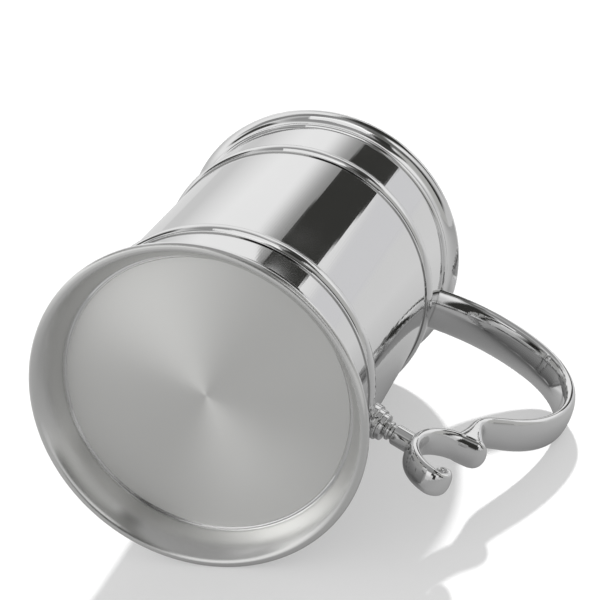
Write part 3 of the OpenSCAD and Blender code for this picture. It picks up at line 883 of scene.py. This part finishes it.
class TANKARD_OT_stage(bpy.types.Operator):
    """Set the camera, the white table and the studio that the metal mirrors"""
    bl_idname = "tankard.stage"
    bl_label = "Stage"

    def execute(self, context):
        stage = context.scene.tankard_stage
        scene = context.scene
        scene.view_settings.view_transform = "Standard"
        forward = Vector(stage.eye_forward).normalized()
        right = Vector(stage.eye_right).normalized()
        self.up = self.table_up(stage)
        self.ahead = (forward - self.up * forward.dot(self.up)).normalized()
        self.aside = self.ahead.cross(self.up)
        data = bpy.data.cameras.new("photo_camera")
        data.lens = stage.lens
        data.sensor_width = 36.0
        camera = bpy.data.objects.new("photo_camera", data)
        turn = Matrix((right, right.cross(forward), -forward)).transposed().to_4x4()
        camera.matrix_world = Matrix.Translation(stage.eye) @ turn
        scene.collection.objects.link(camera)
        scene.camera = camera
        self.table(scene, stage)
        self.lamps(scene, stage)
        self.studio(scene)
        self.cards(scene, stage)
        return {"FINISHED"}

    @staticmethod
    def table_up(stage):
        """The table's upright: the tankard rests on the edges of its foot and its lip."""
        lean = math.atan2(FOOT_HIGH.x - RIM_HIGH.x, RIM_HIGH.z - FOOT_LOW.z)
        roll = stage.table_roll
        return Vector((-math.cos(lean) * math.sin(roll), -math.cos(lean) * math.cos(roll), -math.sin(lean)))

    def sheet(self, scene, name, corners, material):
        """A flat four-cornered object of the stage."""
        mesh = bpy.data.meshes.new(name)
        mesh.from_pydata([tuple(c) for c in corners], [], [(0, 1, 2, 3)])
        mesh.materials.append(material)
        made = bpy.data.objects.new(name, mesh)
        scene.collection.objects.link(made)
        return made

    def table(self, scene, stage):
        """A white table, seen only from above, that carries the tankard's shadow."""
        material, tree = empty_material("Table, matt white")
        white = linear_colour(scene.tankard_finish.table)
        matt = add_node(tree, "ShaderNodeBsdfDiffuse", {"Color": white}).outputs[0]
        path = add_node(tree, "ShaderNodeLightPath").outputs
        lift = math_node(tree, "MULTIPLY", path["Is Camera Ray"], stage.table_lift)
        glow = add_node(tree, "ShaderNodeEmission", {"Strength": lift}).outputs[0]
        lit = add_node(tree, "ShaderNodeAddShader", {0: matt, 1: glow}).outputs[0]
        # For glossy rays the table glows with painted shade, darker close to the tankard, and a painted
        # sheen, brighter towards the back
        clearance = add_node(tree, "ShaderNodeAmbientOcclusion", {
            "Distance": stage.table_shade}).outputs["AO"]
        near = mapped(tree, clearance, target=(stage.table_deep, 1.0))
        place = add_node(tree, "ShaderNodeNewGeometry").outputs
        depth = add_node(tree, "ShaderNodeVectorMath", {
            0: place["Position"], 1: self.ahead}, operation="DOT_PRODUCT").outputs["Value"]
        fall = (-stage.table_fall, stage.table_fall)
        slope = mapped(tree, depth, fall, (stage.table_near, stage.table_far))
        painted_shade_and_sheen = math_node(tree, "MULTIPLY", near, slope)
        mirrored = add_node(tree, "ShaderNodeEmission", {"Strength": painted_shade_and_sheen}).outputs[0]
        above = mixed_shader(tree, path["Is Glossy Ray"], lit, mirrored)
        clear = add_node(tree, "ShaderNodeBsdfTransparent").outputs[0]
        shown = mixed_shader(tree, place["Backfacing"], above, clear)
        add_node(tree, "ShaderNodeOutputMaterial", {"Surface": shown})
        rest = self.up * -FOOT_HIGH.x
        wide, far = self.aside * stage.table_size, self.ahead * stage.table_size
        front = self.ahead * stage.table_front
        corners = (rest - wide - front, rest + wide - front, rest + wide + far, rest - wide + far)
        self.sheet(scene, "table", corners, material)

    def lamps(self, scene, stage):
        """A hard lamp behind the tankard, which throws its shadow, and soft ones for its base and rings."""
        back = bpy.data.lights.new("back_light", "SUN")
        back.energy = stage.light_strength
        back.angle = stage.light_spread
        azimuth, elevation = math.degrees(stage.light_azimuth), math.degrees(stage.light_elevation)
        lamp = self.lamp(scene, stage, back, azimuth, elevation)
        lamp.visible_glossy = False
        at_left, overhead = (-104, 26), (180, 76)
        plate = ("pewter_base_plate",)
        rings = ("pewter_lower_band", "pewter_upper_band", "pewter_rim_astragal", "pewter_rim_lip")
        self.soft_light(scene, stage, "left_light", at_left, stage.left_size, stage.left_strength, plate)
        self.soft_light(scene, stage, "top_light", overhead, stage.top_size, stage.top_strength, rings)

    def soft_light(self, scene, stage, name, facing, size, power, pieces):
        """A square lamp that lights only the named pieces."""
        data = bpy.data.lights.new(name, "AREA")
        data.size = size
        data.energy = power
        lamp = self.lamp(scene, stage, data, *facing)
        lit = bpy.data.collections.new(name + "_pieces")
        for piece in pieces:
            lit.objects.link(bpy.data.objects[piece])
        lamp.light_linking.receiver_collection = lit

    def lamp(self, scene, stage, data, azimuth, elevation):
        """A lamp that shines on the tankard from a direction."""
        made = bpy.data.objects.new(data.name, data)
        toward = self.direction(azimuth, elevation)
        made.location = toward * stage.card_far
        made.rotation_euler = toward.to_track_quat("Z", "Y").to_euler()
        scene.collection.objects.link(made)
        return made

    def studio(self, scene):
        """A white room: pure white to the camera, and in reflections dimmer overhead and low down."""
        world = bpy.data.worlds.new("White studio")
        world.use_nodes = True
        scene.world = world
        tree = world.node_tree
        tree.nodes.clear()
        facing = add_node(tree, "ShaderNodeTexCoord").outputs["Generated"]
        rise = add_node(tree, "ShaderNodeVectorMath", {0: facing, 1: self.up}, operation="DOT_PRODUCT")
        spot = mapped(tree, rise.outputs["Value"], (-1.0, 1.0))
        ramp = add_node(tree, "ShaderNodeValToRGB", {"Fac": spot})
        # Degrees over the table, with the brightness there
        levels = ((-90, 0.65), (-5, 0.65), (-2, 0.66), (6, 0.68),
                  (20, 1.0), (50, 1.0), (66, 0.35), (90, 0.35))
        for i, (elevation, level) in enumerate(levels):
            at = (math.sin(math.radians(elevation)) + 1) / 2
            stop = ramp.color_ramp.elements[i] if i < 2 else ramp.color_ramp.elements.new(at)
            stop.position = at
            stop.color = (level, level, level, 1.0)
        seen = add_node(tree, "ShaderNodeLightPath").outputs["Is Camera Ray"]
        shade = mixed_colour(tree, seen, ramp.outputs["Color"], (1, 1, 1, 1))
        light = add_node(tree, "ShaderNodeBackground", {"Color": shade, "Strength": 1.0})
        add_node(tree, "ShaderNodeOutputWorld", {"Surface": light.outputs[0]})

    def cards(self, scene, stage):
        """Cards and dark corners of the studio, which only the metal mirrors."""
        def panel(left, right, low, high):
            """Corners of an upright card."""
            return (left, low), (right, low), (right, high), (left, high)

        flag = (34.88, 20.14)
        crisp = (0, 0, 0, 0)
        faded = (0.2, 0.2, 0.2, 0.2)
        for card in (
            ("card_black", flag, "#3a3a38", ((-90, 0), (95, -130), (175, 40), (-76, 178)), crisp),
            ("card_fade", flag, "#5a5a58", ((-290, 0), (-90, 0), (-76, 178), (-276, 178)),
             (1, 0, 0, 0), 0.75),
            ("card_camera", (-167, 17), "#343432", panel(-240, 240, -480, 400), faded),
            ("card_behind", (142, 20), "#2c2c2a", ((-240, -420), (330, -420), (400, 440), (-12, 440)),
             (0.2, 0.5, 0.2, 0.2)),
            ("card_over_right", (122, 56), "#343432", panel(-220, 220, -130, 130), faded),
            ("card_left", (-58, 42), "#40403e", panel(-225, 225, -275, 275), faded),
            ("card_back", (-135, 50), "#909090", panel(-900, 900, -190, 190), faded),
            ("card_back_right", (158, 47), "#6c6c6a", panel(-330, 330, -190, 190), faded),
            ("card_over", (76, 50), "#40403e", panel(-310, 420, -220, 220), faded),
            ("card_right", (118, 18), "#bebebc", panel(-420, 420, -600, 600), faded),
            ("card_far", (55, 7), "#e0e0e2", panel(-330, 330, -150, 150), faded),
        ):
            self.card(scene, stage, *card)

    def card(self, scene, stage, name, facing, colour, outline, soft, cover=1.0):
        """A card that faces the tankard, with corners in millimetres across and up from its middle.

        Its left, right, low and high edges fade over shares of its width and height.
        """
        material, tree = empty_material(name)
        shade = add_node(tree, "ShaderNodeEmission", {"Color": linear_colour(colour)}).outputs[0]
        clear = add_node(tree, "ShaderNodeBsdfTransparent").outputs[0]
        spot = add_node(tree, "ShaderNodeSeparateXYZ", {
            0: add_node(tree, "ShaderNodeUVMap", uv_map="spot").outputs[0]}).outputs
        shown = mixed_shader(tree, cover, clear, shade)
        for (axis, start, way), width in zip((("X", 0, 1), ("X", 1, -1), ("Y", 0, 1), ("Y", 1, -1)), soft):
            if width:
                fade = (start, start + way * width)
                share = mapped(tree, spot[axis], fade, interpolation_type="SMOOTHSTEP")
                shown = mixed_shader(tree, share, clear, shown)
        add_node(tree, "ShaderNodeOutputMaterial", {"Surface": shown})
        toward = self.direction(*facing)
        across = toward.cross(self.up).normalized()
        rise = across.cross(toward)
        middle = Vector((0, 0, (CAD_LOW.z + CAD_HIGH.z) / 2)) + toward * stage.card_far
        corners = [middle + across * side * MM + rise * height * MM for side, height in outline]
        made = self.sheet(scene, name, corners, material)
        spots = made.data.uv_layers.new(name="spot")
        for i, place in enumerate(((0, 0), (1, 0), (1, 1), (0, 1))):
            spots.data[i].uv = place
        made.visible_camera = False
        made.visible_diffuse = False
        made.visible_shadow = False

    def direction(self, azimuth, elevation):
        """A direction in degrees to the right of the camera's heading and above the table."""
        turn, lift = math.radians(azimuth), math.radians(elevation)
        level = self.ahead * math.cos(turn) + self.aside * math.sin(turn)
        return level * math.cos(lift) + self.up * math.sin(lift)


class TANKARD_PT_panel(bpy.types.Panel):
    """Sizes and build buttons of the tankard"""
    bl_idname = "TANKARD_PT_panel"
    bl_label = "Tankard"
    bl_space_type = "VIEW_3D"
    bl_region_type = "UI"
    bl_category = "Tankard"

    def draw(self, context):
        for operator in OPERATORS:
            self.layout.operator(operator.bl_idname)
        for name in GROUPS:
            box = self.layout.box()
            box.label(text=name.replace("_", " ").capitalize())
            group = getattr(context.scene, name)
            for key in group.__annotations__:
                box.prop(group, key)


GROUPS = {
    "tankard_body": TankardBody,
    "tankard_handle": TankardHandle,
    "tankard_strut": TankardStrut,
    "tankard_finish": TankardFinish,
    "tankard_stage": TankardStage,
}
OPERATORS = (TANKARD_OT_body, TANKARD_OT_foot, TANKARD_OT_handle, TANKARD_OT_strut, TANKARD_OT_stage)


def register():
    """Registers the tankard's classes and its settings on the scene."""
    for cls in (*GROUPS.values(), *OPERATORS, TANKARD_PT_panel):
        bpy.utils.register_class(cls)
    for name, cls in GROUPS.items():
        setattr(bpy.types.Scene, name, PointerProperty(type=cls))


def unregister():
    """Takes the settings and classes away again."""
    for name in GROUPS:
        delattr(bpy.types.Scene, name)
    for cls in reversed((*GROUPS.values(), *OPERATORS, TANKARD_PT_panel)):
        bpy.utils.unregister_class(cls)


def main():
    """Builds the tankard and its stage."""
    register()
    bpy.ops.tankard.body()
    bpy.ops.tankard.foot()
    bpy.ops.tankard.handle()
    bpy.ops.tankard.strut()
    bpy.ops.tankard.stage()


if __name__ == "__main__":
    main()
